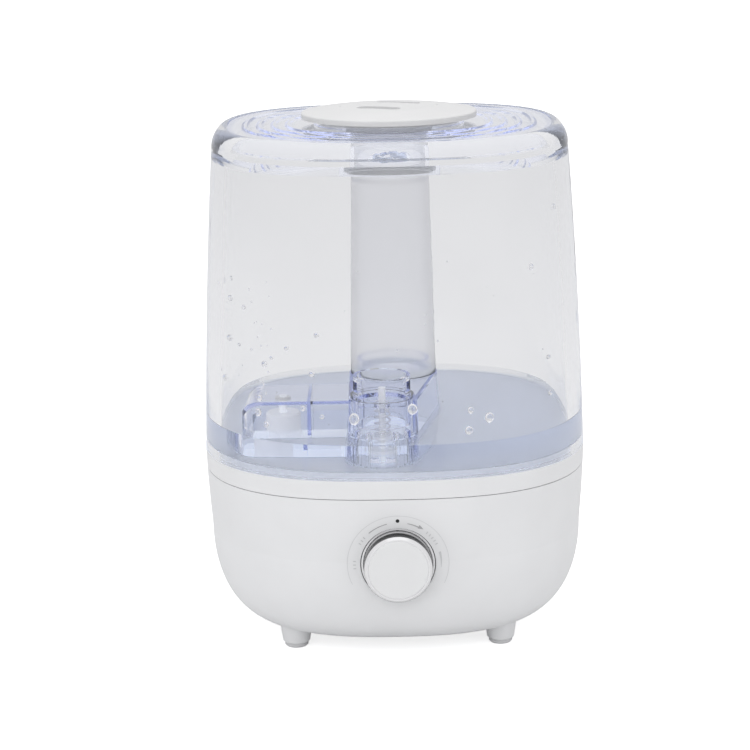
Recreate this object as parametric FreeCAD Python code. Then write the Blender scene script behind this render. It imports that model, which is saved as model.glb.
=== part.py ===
import FreeCAD, Part
import math
import os

# Cool mist humidifier: a clear top-fill tank on a white base, millimetres.
# +Z up, the knob faces -Y. Sizes are laid out from the mist tube's axis, and the finished
# nodes are moved so that the origin is on the floor under the middle of the whole outline.

V = FreeCAD.Vector
UP = V(0, 0, 1)
FRONT = V(0, -1, 0)

# ---- overall shape: a rounded square in plan, widest where tank and base meet ----
HALF_WIDTH = 108.0
DEPTH_STEP = 2.3
HALF_DEPTH = HALF_WIDTH - DEPTH_STEP
SQUARENESS = 2.57
OUTLINE_POINTS = 36
JOINT_Z = 109.0
TANK_HEIGHT = 179.0
RIM_Z = JOINT_Z + TANK_HEIGHT

# ---- base housing ----
BODY_BOTTOM_Z = 9.8
SEAM_Z = JOINT_Z - 10.7
SEAM_GAP = 0.4
BASE_WALL = 2.8
CURVE_TOP_Z = BODY_BOTTOM_Z + 53.0
CURVE_TOP_HALF = HALF_WIDTH - 2.5
BASE_BOW = 0.34
BOTTOM_ROUND_IN = 36.5
BOTTOM_ROUND_POWER = 2.24
POST_OUTER_R = 4.2
FRONT_POST_X = HALF_WIDTH - 56.0
FRONT_POST_Y = 27.7 - HALF_DEPTH
BACK_POST_X = HALF_WIDTH - 42.0
BACK_POST_Y = HALF_DEPTH - 41.7
POST_LOW_Z = SEAM_Z - 38.3
FOOT_POST_LOW_Z = 24.2
FOOT_POST_TOP_Z = 40.0
COVER_HALF = HALF_WIDTH - 22.0
COVER_GAP = 0.3

# ---- feet ----
CORNER_SHARE = 2 ** (-1 / SQUARENESS)
FOOT_X = CORNER_SHARE * COVER_HALF - 8.17
FOOT_Y = CORNER_SHARE * (COVER_HALF - DEPTH_STEP) - 8.914
FOOT_TOP_R = 9.8
FOOT_BOTTOM_R = 7.6
FOOT_BORE_R = 4.2
PAD_R = FOOT_BOTTOM_R - 1.0
PAD_HEIGHT = 2.0

# ---- water tray on top of the base ----
TRAY_RIM = 8.0
DECK_Z = JOINT_Z - 5.0
DECK_THICK = 2.4
BASIN_Z = DECK_Z - 20.0
BASIN_MARGIN = 3.0
WELL_R = 17.0
WELL_Z = BASIN_Z - 14.0
TRAY_WALL = 2.4
CHIMNEY_X = 50.0
CHIMNEY_Y = 16.0
CHIMNEY_R = 15.0
CHIMNEY_TOP_Z = DECK_Z + 2.8
CHIMNEY_DROP = 12.0

# ---- mist maker ----
DISC_R = 10.0
DISC_HOLE_R = DISC_R - 2.4
DISC_THICK = 1.2
GASKET_R = DISC_R + 2.4
GASKET_THICK = 2.6
HOLDER_R = WELL_R + 3.0
HOLDER_THICK = 3.0
HOLDER_SCREW_R = WELL_R - 1.0

# ---- fan and duct ----
FAN_SIZE = 50.0
FAN_THICK = 15.0
FAN_Z = 22.0
FAN_BORE_R = FAN_SIZE / 2 - 1.5
FAN_TIP_GAP = 0.8
FAN_HUB_R = 11.0
FAN_BLADES = 7
FAN_SCREW_PITCH = FAN_SIZE - 9.0
DUCT_WALL = 1.8
DUCT_HEAD = 30.0
DUCT_SOCKET = 6.6

# ---- electronics ----
BOARD_X = -38.0
BOARD_Y = 12.0
BOARD_LENGTH = 62.0
BOARD_WIDTH = 66.0
BOARD_THICK = 1.6
BOARD_Z = 26.0
BOSS_R = 3.4
BOSS_INSET = 5.0
JACK_X = -18.0
JACK_Z = 60.0
JACK_R = 5.6
JACK_WELL = 5.2

# ---- knob ----
KNOB_Z = 62.0
POCKET_R = 20.4
POCKET_Y = 2.8 - (CURVE_TOP_HALF - HALF_WIDTH + HALF_DEPTH)
BEZEL_WIDTH = 1.5
KNOB_R = POCKET_R - BEZEL_WIDTH - 0.5
FACE_R = KNOB_R - 1.9
KNOB_LENGTH = 13.6
KNOB_SEAT_Y = POCKET_Y - 0.6
SPINDLE_R = 3.0
POT_R = 8.5
POT_FRONT_Y = POCKET_Y + 18.4
POT_BACK_Y = POT_FRONT_Y + 8.4

# ---- tank ----
TANK_TOP_HALF = HALF_WIDTH - 8.8
SHOULDER_Z = RIM_Z - 11.0
TANK_BOW = 1.04
TANK_WALL = 8.0
MOUTH_HALF = TANK_TOP_HALF - 8.7
RIM_LAND = 1.0
LEDGE_HALF = MOUTH_HALF - 3.5
LEDGE_TOP_Z = RIM_Z - 10.4
LEDGE_THICK = 3.4
FLOOR_THICK = 3.0
FLOOR_LIP = 1.7
SKIRT_DROP = 2.5
SKIRT_THICK = 2.5
SLIP = 0.5

# ---- hood moulded in the tank floor ----
HOOD_TOP_Z = JOINT_Z + 36.0
HOOD_WALL = 2.2
HOOD_DRAFT = 2.4
FOOT_RING_R = 25.0
TOWER_X = -7.0
TOWER_Y = -69.0
TOWER_R = 18.0
TOWER_TOP_Z = HOOD_TOP_Z + 2.0
TOWER_WALL = 2.0
TOWER_SLOTS = 5
SLOT_WIDTH = 2.4
SLOT_HEIGHT = 18.0
LOBE_TOP_Z = HOOD_TOP_Z - 2.4
LOBE_LEFT_X = 24.5 - HALF_WIDTH
LOBE_FRONT_Y = -60.0
LOBE_BACK_Y = -16.0
LOBE_CORNER_R = 11.0
LOBE_SHOULDER_R = 10.0
RIB_X = -47.0
RIB_THICK = 2.0

# ---- mist tube ----
TUBE_FOOT_R = FOOT_RING_R - 0.5
TUBE_TOP_R = 22.0
TUBE_TOP_Z = RIM_Z - 29.0
TUBE_WALL = 1.8
SPIGOT_R = TUBE_TOP_R - 1.9
SPIGOT_HEIGHT = 5.0
COLLAR_R = TUBE_FOOT_R - 3.9
COLLAR_BORE_R = COLLAR_R - 2.0
COLLAR_HEIGHT = 8.0
SEAL_HEIGHT = 3.0

# ---- water valve ----
OUTLET_R = 7.0
VALVE_LIFT = 4.0
VALVE_DISC_R = OUTLET_R + 2.5
VALVE_DISC_THICK = 1.6
VALVE_SEAL_R = VALVE_DISC_R - 0.5
VALVE_SEAL_THICK = 1.5
STEM_R = 2.0
STEM_TOP_Z = TOWER_TOP_Z + 5.0
PUSH_PIN_R = 2.0
PUSH_PIN_GAP = 0.1
CAGE_R = TOWER_R - TOWER_WALL - SLIP
CAGE_WALL = 2.0
CAGE_TOP_Z = TOWER_TOP_Z + 12.0
CAGE_BOTTOM_Z = TOWER_TOP_Z - 15.0
CAGE_FLANGE_R = TOWER_R - 0.8
CAGE_FLANGE_THICK = 1.4
SPIDER_Z = TOWER_TOP_Z - 6.0
SPIDER_THICK = 2.4
SPRING_R = 4.6
SPRING_WIRE_R = 0.45
SPRING_TURNS = 6

# ---- float ----
FLOAT_X = -62.0
FLOAT_Y = -38.0
FLOAT_R = 9.7
FLOAT_BOTTOM_Z = BASIN_Z + 6.0
FLOAT_TRAVEL = 5.0
FLOAT_HEIGHT = LOBE_TOP_Z - HOOD_WALL - FLOAT_BOTTOM_Z - FLOAT_TRAVEL - 3.4
FLOAT_WALL = 1.6
POST_R = 2.2
POST_CLEARANCE = 0.3
CLIP_R = 4.4
CLIP_THICK = 1.6

# ---- lid ----
LID_GAP = 0.5
LID_TOP_Z = RIM_Z - 0.4
LID_THICK = 2.4
LID_SKIRT_Z = LEDGE_TOP_Z + 0.6
LID_SKIRT_THICK = 2.4
LID_BORE_R = 26.4
LID_BORE_WALL = 2.0
LID_COLLAR_R = TUBE_TOP_R + 0.4
LID_COLLAR_HEIGHT = 8.0
RIPPLES = 4
RIPPLE_FIRST_HALF = 56.0
RIPPLE_STEP = 8.0
RIPPLE_HEIGHT = 0.9
BEARING_R = 41.0
BEARING_WIDTH = 2.0
BEARING_TOP_Z = LID_TOP_Z + 1.4

# ---- rotating mist cap ----
CAP_R = 49.0
CAP_EDGE_Z = LID_TOP_Z + 3.2
CAP_RIM_Z = LID_TOP_Z + 6.4
CAP_TOP_Z = LID_TOP_Z + 10.4
CAP_SHELL = 2.2
HUB_LENGTH = 14.0
HUB_WALL = 1.8
TURN_GAP = 0.3
OUTLET_SLOT_LENGTH = 26.0
OUTLET_SLOT_WIDTH = 7.0
OUTLET_OFFSET = 14.0
OUTLET_TURN = -24.0
DISH_R = 27.0
DISH_DEPTH = 0.6
VENT_HOLE_R = 0.8

# ---- screws ----
SCREW_R = 1.5
SCREW_HEAD_R = 2.9
SCREW_HEAD_HEIGHT = 1.8
THREAD_GAP = 0.03


def bowed(z, low_z, low_half, high_z, high_half, bow):
    """Half width at height z on a line between two heights that bows outward."""
    share = (z - low_z) / (high_z - low_z)
    return low_half + (high_half - low_half) * share + 4 * bow * share * (1 - share)


def tank_half(z):
    return bowed(z, JOINT_Z, HALF_WIDTH - 0.2, SHOULDER_Z, TANK_TOP_HALF, TANK_BOW)


def base_half(z):
    return bowed(z, CURVE_TOP_Z, CURVE_TOP_HALF, JOINT_Z, HALF_WIDTH, BASE_BOW)


def squircle(half_x, z):
    """Closed plan outline at height z, kept the same distance inside the widest one."""
    half_y = half_x - (HALF_WIDTH - HALF_DEPTH)
    points = []
    for i in range(OUTLINE_POINTS):
        a = 2 * math.pi * i / OUTLINE_POINTS
        c = math.cos(a)
        s = math.sin(a)
        reach = (abs(c / half_x) ** SQUARENESS + abs(s / half_y) ** SQUARENESS) ** (-1 / SQUARENESS)
        points.append(V(reach * c, reach * s, z))
    curve = Part.BSplineCurve()
    curve.interpolate(Points=points, PeriodicFlag=True)
    return Part.Wire([curve.toShape()])


def squircle_body(sections, ruled=False):
    """Solid through (half width, height) sections."""
    return Part.makeLoft([squircle(half, z) for half, z in sections], True, ruled, False, 3)


def squircle_prism(half_x, z0, z1):
    return Part.Face(squircle(half_x, z0)).extrude(V(0, 0, z1 - z0))


def cylinder(r, z0, z1, x=0.0, y=0.0):
    return Part.makeCylinder(r, z1 - z0, V(x, y, z0), UP)


def ring(r_out, r_in, z0, z1, x=0.0, y=0.0):
    return cylinder(r_out, z0, z1, x, y).cut(cylinder(r_in, z0 - 1, z1 + 1, x, y))


def box(x0, x1, y0, y1, z0, z1):
    return Part.makeBox(x1 - x0, y1 - y0, z1 - z0, V(x0, y0, z0))


def front_cylinder(r, y0, y1, x=0.0, z=KNOB_Z):
    """Cylinder along Y from y0 forward to y1."""
    return Part.makeCylinder(r, y0 - y1, V(x, y0, z), FRONT)


def turned(profile, x=0.0, y=0.0):
    """Solid of revolution about a vertical axis from (radius, height) points."""
    points = [V(x + r, y, z) for r, z in profile]
    face = Part.Face(Part.makePolygon(points + points[:1]))
    return face.revolve(V(x, y, 0), UP, 360)


def hull_wire(r1, x2, y2, r2, z):
    """Outline around two circles: one at the origin, one at x2, y2."""
    gap = math.hypot(x2, y2)
    heading = math.atan2(y2, x2)
    lean = math.acos((r1 - r2) / gap)

    def on(x, y, r, a):
        return V(x + r * math.cos(a), y + r * math.sin(a), z)

    back_arc = Part.Arc(on(0, 0, r1, heading + lean), on(0, 0, r1, heading + math.pi),
                        on(0, 0, r1, heading - lean))
    front_arc = Part.Arc(on(x2, y2, r2, heading - lean), on(x2, y2, r2, heading),
                         on(x2, y2, r2, heading + lean))
    side_a = Part.LineSegment(on(0, 0, r1, heading - lean), on(x2, y2, r2, heading - lean))
    side_b = Part.LineSegment(on(x2, y2, r2, heading + lean), on(0, 0, r1, heading + lean))
    return Part.Wire([e.toShape() for e in (back_arc, side_a, front_arc, side_b)])


def hull_body(inset, z0, z1, flare=0.0):
    """Prism around the tube foot and the valve tower, wider by flare at its foot."""
    foot = hull_wire(FOOT_RING_R - inset + flare, TOWER_X, TOWER_Y, TOWER_R - inset + flare, z0)
    top = hull_wire(FOOT_RING_R - inset, TOWER_X, TOWER_Y, TOWER_R - inset, z1)
    return Part.makeLoft([foot, top], True, True)


def rounded_box(x0, x1, y0, y1, z0, z1, corner_r, shoulder_r):
    """Box whose two left upright corners and upper left edge are rounded."""
    solid = box(x0, x1, y0, y1, z0, z1)
    uprights = [e for e in solid.Edges
                if abs(e.BoundBox.XMax - x0) < 1e-6 and e.BoundBox.ZLength > 1]
    solid = solid.makeFillet(corner_r, uprights)
    if not shoulder_r:
        return solid
    shoulder = box(x0, x0 + shoulder_r, y0, y1, z1 - shoulder_r, z1)
    shoulder = shoulder.cut(Part.makeCylinder(shoulder_r, y1 - y0,
                                              V(x0 + shoulder_r, y0, z1 - shoulder_r), V(0, 1, 0)))
    return solid.cut(shoulder)


def lobe_body(inset, z0, z1, shoulder_r):
    return rounded_box(LOBE_LEFT_X + inset, TOWER_X, LOBE_FRONT_Y + inset, LOBE_BACK_Y - inset,
                       z0, z1, LOBE_CORNER_R - inset, shoulder_r)


def screw(x, y, z, length, down=True):
    """Pan head screw whose head rests on height z."""
    way = -1 if down else 1
    shank = Part.makeCylinder(SCREW_R, length, V(x, y, z), UP * way)
    head = Part.makeCylinder(SCREW_HEAD_R, SCREW_HEAD_HEIGHT, V(x, y, z), UP * -way)
    slot = box(x - 2, x + 2, y - 0.4, y + 0.4, z - 3, z + 3)
    top = z - way * SCREW_HEAD_HEIGHT
    slot = slot.common(Part.makeCylinder(9, 0.8, V(x, y, top), UP * way))
    return shank.fuse(head).cut(slot)


def foot_places():
    return [(sx * FOOT_X, sy * FOOT_Y) for sx in (-1, 1) for sy in (-1, 1)]


def board_places():
    half_x = BOARD_LENGTH / 2 - BOSS_INSET
    half_y = BOARD_WIDTH / 2 - BOSS_INSET
    return [(BOARD_X + sx * half_x, BOARD_Y + sy * half_y) for sx in (-1, 1) for sy in (-1, 1)]


def fan_places():
    half = FAN_SCREW_PITCH / 2
    return [(CHIMNEY_X + sx * half, CHIMNEY_Y + sy * half) for sx in (-1, 1) for sy in (-1, 1)]


def around(count, radius, first=90.0):
    angles = [math.radians(first + 360.0 * i / count) for i in range(count)]
    return [(radius * math.cos(a), radius * math.sin(a)) for a in angles]


# ------------------------------------------------------------------ base ----

def base_body(inset, top_z):
    """Full body of the base, pulled in by inset: a rounded bottom under a leaning wall."""
    bottom = BODY_BOTTOM_Z + inset
    rise = CURVE_TOP_Z - bottom
    bowl = []
    for step in range(7):
        a = math.radians(90 - 15 * step)
        drop = BOTTOM_ROUND_IN * (1 - math.cos(a) ** (2 / BOTTOM_ROUND_POWER))
        height = rise * (1 - math.sin(a) ** (2 / BOTTOM_ROUND_POWER))
        bowl.append((CURVE_TOP_HALF - drop - inset, bottom + height))
    heights = [CURVE_TOP_Z + (top_z - CURVE_TOP_Z) * step / 3 for step in range(4)]
    wall = [(base_half(z) - inset, z) for z in heights]
    return squircle_body(bowl).fuse(squircle_body(wall))


def base_shell():
    """The base's outer wall, closed at the bottom and open at the top."""
    return base_body(0, SEAM_Z).cut(base_body(BASE_WALL, SEAM_Z + 1))


def tray_post_places():
    """Screw posts under the tray, the front ones ahead of the sump."""
    return [(sx * FRONT_POST_X, FRONT_POST_Y) for sx in (-1, 1)] + \
           [(sx * BACK_POST_X, BACK_POST_Y) for sx in (-1, 1)]


def side_web(x, y, z0, z1):
    """Plate from a post out to the side wall."""
    web = box(min(x, 2 * x), max(x, 2 * x), y - 1.2, y + 1.2, z0, z1)
    return web.common(base_body(BASE_WALL - 0.5, SEAM_Z))


def make_base_housing():
    shell = base_shell()
    shell = shell.cut(squircle_prism(COVER_HALF, 0, CURVE_TOP_Z / 2))
    ledge = base_body(BASE_WALL / 2, SEAM_Z)
    ledge = ledge.common(squircle_prism(COVER_HALF + 3, 0, 30))
    ledge = ledge.cut(squircle_prism(COVER_HALF - 4, 0, 30))
    ledge = ledge.cut(base_body(BASE_WALL + 2, SEAM_Z))
    skin = base_body(0, SEAM_Z).cut(base_body(BASE_WALL + 0.2, SEAM_Z))
    ledge = ledge.cut(skin.common(squircle_prism(COVER_HALF, 0, CURVE_TOP_Z / 2)))
    for x, y in foot_places():
        ledge = ledge.cut(cylinder(FOOT_TOP_R + 0.5, 0, CURVE_TOP_Z / 2, x, y))
    shell = shell.fuse(ledge)
    pocket_wall = front_cylinder(POCKET_R + 2, POCKET_Y + 2.4, -HALF_DEPTH - 1)
    pocket_wall = pocket_wall.common(base_body(0.2, SEAM_Z))
    shell = shell.fuse(pocket_wall)
    shell = shell.cut(front_cylinder(POCKET_R, POCKET_Y, -HALF_DEPTH - 5))
    shell = shell.cut(front_cylinder(SPINDLE_R + 1.0, POCKET_Y + 10, -HALF_DEPTH - 5))
    jack_back = HALF_DEPTH + 5
    jack_hole = Part.makeCylinder(JACK_R + 0.3, 40, V(JACK_X, jack_back, JACK_Z), FRONT)
    shell = shell.cut(jack_hole)
    for x, y in tray_post_places():
        post = cylinder(POST_OUTER_R, POST_LOW_Z, SEAM_Z - 1.2, x, y)
        shell = shell.fuse(post.fuse(side_web(x, y, POST_LOW_Z, SEAM_Z - 12)))
        shell = shell.cut(cylinder(SCREW_R + THREAD_GAP, SEAM_Z - 16, SEAM_Z + 1, x, y))
    for x, y in foot_places():
        post = cylinder(POST_OUTER_R, FOOT_POST_LOW_Z, FOOT_POST_TOP_Z, x, y)
        shell = shell.fuse(post.fuse(side_web(x, y, FOOT_POST_LOW_Z, FOOT_POST_TOP_Z)))
        shell = shell.cut(cylinder(SCREW_R + THREAD_GAP, 20, FOOT_POST_TOP_Z - 4, x, y))
    return shell.removeSplitter()


def make_bottom_cover():
    inner = squircle_prism(COVER_HALF - COVER_GAP, 0, CURVE_TOP_Z / 2)
    cover = base_shell().common(inner)
    solid = base_body(BASE_WALL / 2, SEAM_Z)
    for x, y in foot_places():
        foot = turned([(0, PAD_HEIGHT), (FOOT_BOTTOM_R - 1.2, PAD_HEIGHT),
                       (FOOT_BOTTOM_R, PAD_HEIGHT + 1.2), (FOOT_TOP_R, 18.0), (0, 18.0)], x, y)
        boss = cylinder(FOOT_BORE_R + 1.6, 14.0, 24.0, x, y)
        cover = cover.fuse(foot).fuse(boss)
        cover = cover.cut(cylinder(FOOT_BORE_R, 0, 21.0, x, y))
        cover = cover.cut(cylinder(SCREW_R + 0.2, 20.0, 26.0, x, y))
    for x, y in board_places():
        boss = cylinder(BOSS_R, BODY_BOTTOM_Z + 1, BOARD_Z, x, y)
        hole = cylinder(SCREW_R + THREAD_GAP, 15.0, BOARD_Z + 1, x, y)
        cover = cover.fuse(boss.common(solid)).cut(hole)
    for x, y in fan_places():
        boss = cylinder(BOSS_R, BODY_BOTTOM_Z + 1, FAN_Z, x, y)
        hole = cylinder(SCREW_R + THREAD_GAP, 15.0, FAN_Z + 1, x, y)
        cover = cover.fuse(boss.common(solid)).cut(hole)
    slots = []
    for i in range(7):
        y = CHIMNEY_Y - 18.0 + 6.0 * i
        slots.append(box(CHIMNEY_X - 17, CHIMNEY_X + 17, y - 1.3, y + 1.3, 5, 14.5))
    for i in range(6):
        y = BOARD_Y - 15.0 + 6.0 * i
        slots.append(box(BOARD_X - 15, BOARD_X + 15, y - 1.3, y + 1.3, 5, 14.5))
    return cover.cut(Part.makeCompound(slots)).removeSplitter()


def make_foot_pads():
    pads = []
    for x, y in foot_places():
        pads.append(turned([(FOOT_BORE_R - 0.8, 0.0), (PAD_R - 0.8, 0.0), (PAD_R, 0.8),
                            (PAD_R, PAD_HEIGHT), (FOOT_BORE_R - 0.8, PAD_HEIGHT)], x, y))
    return Part.makeCompound(pads)


def basin_body(z0, grow):
    """Sump under the hood: around the well, the valve pin and the float."""
    reach = BASIN_MARGIN + grow
    main = hull_body(-reach, z0, DECK_Z + 1)
    side = box(LOBE_LEFT_X - reach, TOWER_X, LOBE_FRONT_Y - reach, LOBE_BACK_Y + reach,
               z0, DECK_Z + 1)
    corners = [e for e in side.Edges if abs(e.BoundBox.XMax - (LOBE_LEFT_X - reach)) < 1e-6
               and e.BoundBox.ZLength > 1]
    return main.fuse(side.makeFillet(LOBE_CORNER_R, corners))


def recess_half():
    """Half width of the recess in the tray that takes the tank's foot."""
    return tank_half(JOINT_Z) - TRAY_RIM


def tray_body():
    """Rim, deck, sump and well as one body, with a hole for the chimney."""
    outer = [(base_half(z), z) for z in (SEAM_Z + SEAM_GAP, (SEAM_Z + JOINT_Z) / 2, JOINT_Z)]
    tray = squircle_body(outer)
    tray = tray.cut(squircle_prism(recess_half(), DECK_Z, JOINT_Z + 1))
    below = DECK_Z - DECK_THICK
    tray = tray.cut(squircle_prism(recess_half() + 2.0, SEAM_Z - 1, below))
    tongue_half = base_half(SEAM_Z) - BASE_WALL - 0.3
    tongue = squircle_prism(tongue_half, SEAM_Z - 4, SEAM_Z + 2).cut(
        squircle_prism(tongue_half - 2.2, SEAM_Z - 5, SEAM_Z + 3))
    tray = tray.fuse(tongue)
    tray = tray.fuse(basin_body(BASIN_Z - TRAY_WALL, TRAY_WALL).common(
        box(-200, 200, -200, 200, 0, DECK_Z)))
    tray = tray.fuse(cylinder(WELL_R + TRAY_WALL, WELL_Z - 3.0, DECK_Z - 1))
    for x, y in around(3, HOLDER_SCREW_R):
        tray = tray.fuse(cylinder(3.0, WELL_Z - 3.0, BASIN_Z, x, y))
    tray = tray.cut(basin_body(BASIN_Z, 0))
    tray = tray.cut(cylinder(WELL_R - 5.0, WELL_Z, BASIN_Z + 1))
    tray = tray.cut(cylinder(DISC_HOLE_R, WELL_Z - 5, BASIN_Z))
    tray = tray.cut(cylinder(GASKET_R + 0.2, WELL_Z - 4, WELL_Z - 2.0))
    for x, y in around(3, HOLDER_SCREW_R):
        tray = tray.cut(cylinder(SCREW_R + THREAD_GAP, WELL_Z - 4, WELL_Z + 8, x, y))
    tray = tray.cut(cylinder(CHIMNEY_R + TRAY_WALL, DECK_Z - 24, JOINT_Z, CHIMNEY_X, CHIMNEY_Y))
    for x, y in tray_post_places():
        tray = tray.fuse(cylinder(POST_OUTER_R, SEAM_Z - 1.2, below + 0.5, x, y))
        tray = tray.cut(cylinder(SCREW_R + 0.2, SEAM_Z - 2, DECK_Z + 1, x, y))
        seat = DECK_Z - SCREW_HEAD_HEIGHT - 0.3
        tray = tray.cut(cylinder(SCREW_HEAD_R + 0.3, seat, DECK_Z + 1, x, y))
    return tray


def sump_zone():
    """Everything below the deck inside the sump's outer wall."""
    below = box(-HALF_WIDTH, HALF_WIDTH, -HALF_WIDTH, HALF_WIDTH, 0, DECK_Z - DECK_THICK)
    return basin_body(WELL_Z - 20, TRAY_WALL).common(below)


def make_base_tray():
    """Rim of the base, on which the tank stands."""
    inside = squircle_prism(recess_half(), 0, JOINT_Z + 1)
    return tray_body().cut(inside).removeSplitter()


def make_deck():
    """Floor of the recess inside the rim, with its screw posts."""
    inside = squircle_prism(recess_half(), 0, JOINT_Z + 1)
    return tray_body().common(inside).cut(sump_zone()).removeSplitter()


def make_chimney():
    """Short pipe that lets the fan's air up through the deck."""
    foot = DECK_Z - DECK_THICK - CHIMNEY_DROP
    return ring(CHIMNEY_R + TRAY_WALL, CHIMNEY_R, foot, CHIMNEY_TOP_Z, CHIMNEY_X, CHIMNEY_Y)


def make_sump():
    """Tub under the deck that holds the water over the mist maker."""
    return tray_body().common(sump_zone()).removeSplitter()


def make_valve_pin():
    """Pin on the sump's floor that lifts the tank's valve."""
    pin_top = JOINT_Z + FLOOR_THICK + VALVE_LIFT - PUSH_PIN_GAP
    return turned([(0, BASIN_Z), (6.0, BASIN_Z), (3.4, BASIN_Z + 16), (PUSH_PIN_R, BASIN_Z + 19),
                   (PUSH_PIN_R, pin_top), (0, pin_top)], TOWER_X, TOWER_Y)


def make_float_post():
    """Post on the sump's floor, with a stop below and a clip groove above the float."""
    post_top = FLOAT_BOTTOM_Z + FLOAT_HEIGHT + FLOAT_TRAVEL + 0.3 + CLIP_THICK + 0.8
    post = cylinder(POST_R, BASIN_Z, post_top, FLOAT_X, FLOAT_Y)
    post = post.fuse(cylinder(5.0, BASIN_Z, FLOAT_BOTTOM_Z - 0.2, FLOAT_X, FLOAT_Y))
    groove = ring(POST_R + 1, POST_R - 0.5, post_top - 1.0 - CLIP_THICK, post_top - 0.9,
                  FLOAT_X, FLOAT_Y)
    return post.cut(groove).removeSplitter()


def make_tray_screws():
    z = DECK_Z - SCREW_HEAD_HEIGHT - 0.3
    return Part.makeCompound([screw(x, y, z, 14.0) for x, y in tray_post_places()])


def make_cover_screws():
    """Screws that come up through the feet into the housing's posts."""
    return Part.makeCompound([screw(x, y, 20.9, 9.0, down=False) for x, y in foot_places()])


# ------------------------------------------------------------ mist maker ----

def make_transducer_gasket():
    top = WELL_Z - 2.0
    low = top - GASKET_THICK
    middle = (top + low) / 2
    return turned([(DISC_HOLE_R, top), (GASKET_R, top), (GASKET_R, low), (DISC_HOLE_R, low),
                   (DISC_HOLE_R, middle - DISC_THICK / 2), (DISC_R, middle - DISC_THICK / 2),
                   (DISC_R, middle + DISC_THICK / 2), (DISC_HOLE_R, middle + DISC_THICK / 2)])


def make_transducer_disc():
    middle = WELL_Z - 2.0 - GASKET_THICK / 2
    return cylinder(DISC_R, middle - DISC_THICK / 2, middle + DISC_THICK / 2)


def holder_z():
    return WELL_Z - 2.0 - GASKET_THICK


def make_transducer_holder():
    """Cast plate with cooling fins that presses the gasket up against the well."""
    z = holder_z()
    plate = cylinder(HOLDER_R, z - HOLDER_THICK, z)
    plate = plate.fuse(ring(GASKET_R + 3.0, GASKET_R + 0.2, z - 0.5, WELL_Z - 3.0))
    for i in range(5):
        x = -10.0 + 5.0 * i
        half = math.sqrt(HOLDER_R ** 2 - x ** 2) - 5
        plate = plate.fuse(box(x - 0.8, x + 0.8, -half, half,
                               z - HOLDER_THICK - 8, z - HOLDER_THICK + 0.5))
    plate = plate.cut(cylinder(DISC_HOLE_R, z - 20, z + 1))
    for x, y in around(3, HOLDER_SCREW_R):
        plate = plate.cut(cylinder(SCREW_R + 0.2, z - 20, z + 5, x, y))
        plate = plate.cut(cylinder(SCREW_HEAD_R + 0.4, z - 20, z - HOLDER_THICK, x, y))
    return plate.removeSplitter()


def make_transducer_screws():
    z = holder_z() - HOLDER_THICK
    places = around(3, HOLDER_SCREW_R)
    return Part.makeCompound([screw(x, y, z, 8.0, down=False) for x, y in places])


# ----------------------------------------------------------- fan and duct ----

def make_fan_frame():
    half = FAN_SIZE / 2
    x = CHIMNEY_X
    y = CHIMNEY_Y
    frame = box(x - half, x + half, y - half, y + half, FAN_Z, FAN_Z + FAN_THICK)
    uprights = [e for e in frame.Edges if e.BoundBox.ZLength > 1]
    bore = cylinder(FAN_BORE_R, FAN_Z - 1, FAN_Z + FAN_THICK + 1, x, y)
    frame = frame.makeFillet(4.0, uprights).cut(bore)
    stator = cylinder(FAN_HUB_R, FAN_Z, FAN_Z + 2.0, x, y)
    for i in range(3):
        arm = box(0, FAN_BORE_R + 0.5, -1.4, 1.4, FAN_Z, FAN_Z + 2.0)
        arm.rotate(V(0, 0, 0), UP, 120.0 * i + 30)
        arm.translate(V(x, y, 0))
        stator = stator.fuse(arm)
    stator = stator.fuse(cylinder(5.0, FAN_Z + 1, FAN_Z + 8.0, x, y))
    frame = frame.fuse(stator).cut(cylinder(1.55, FAN_Z + 1.5, FAN_Z + 9, x, y))
    for sx, sy in fan_places():
        frame = frame.cut(cylinder(SCREW_R + 0.3, FAN_Z - 1, FAN_Z + FAN_THICK + 1, sx, sy))
    return frame.removeSplitter()


def make_fan_impeller():
    x = CHIMNEY_X
    y = CHIMNEY_Y
    low = FAN_Z + 2.6
    high = FAN_Z + FAN_THICK - 1.0
    hub = ring(FAN_HUB_R, FAN_HUB_R - 1.4, low, high, x, y)
    hub = hub.fuse(cylinder(FAN_HUB_R, high - 1.4, high, x, y))
    hub = hub.fuse(cylinder(1.5, FAN_Z + 2.2, high, x, y))
    for i in range(FAN_BLADES):
        reach = FAN_BORE_R - FAN_TIP_GAP
        blade = box(FAN_HUB_R - 1.0, reach - 0.6, -0.7, 0.7, -5.4, 5.4)
        blade.rotate(V(0, 0, 0), V(1, 0, 0), 48)
        blade = blade.common(box(0, 40, -20, 20, -4.2, 4.2))
        blade.rotate(V(0, 0, 0), UP, 360.0 * i / FAN_BLADES)
        blade.translate(V(x, y, (low + high) / 2))
        hub = hub.fuse(blade)
    sweep = cylinder(FAN_BORE_R - FAN_TIP_GAP, FAN_Z, FAN_Z + FAN_THICK, x, y)
    return hub.common(sweep).removeSplitter()


def make_fan_screws():
    z = FAN_Z + FAN_THICK
    return Part.makeCompound([screw(x, y, z, FAN_THICK + 6.0) for x, y in fan_places()])


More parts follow.
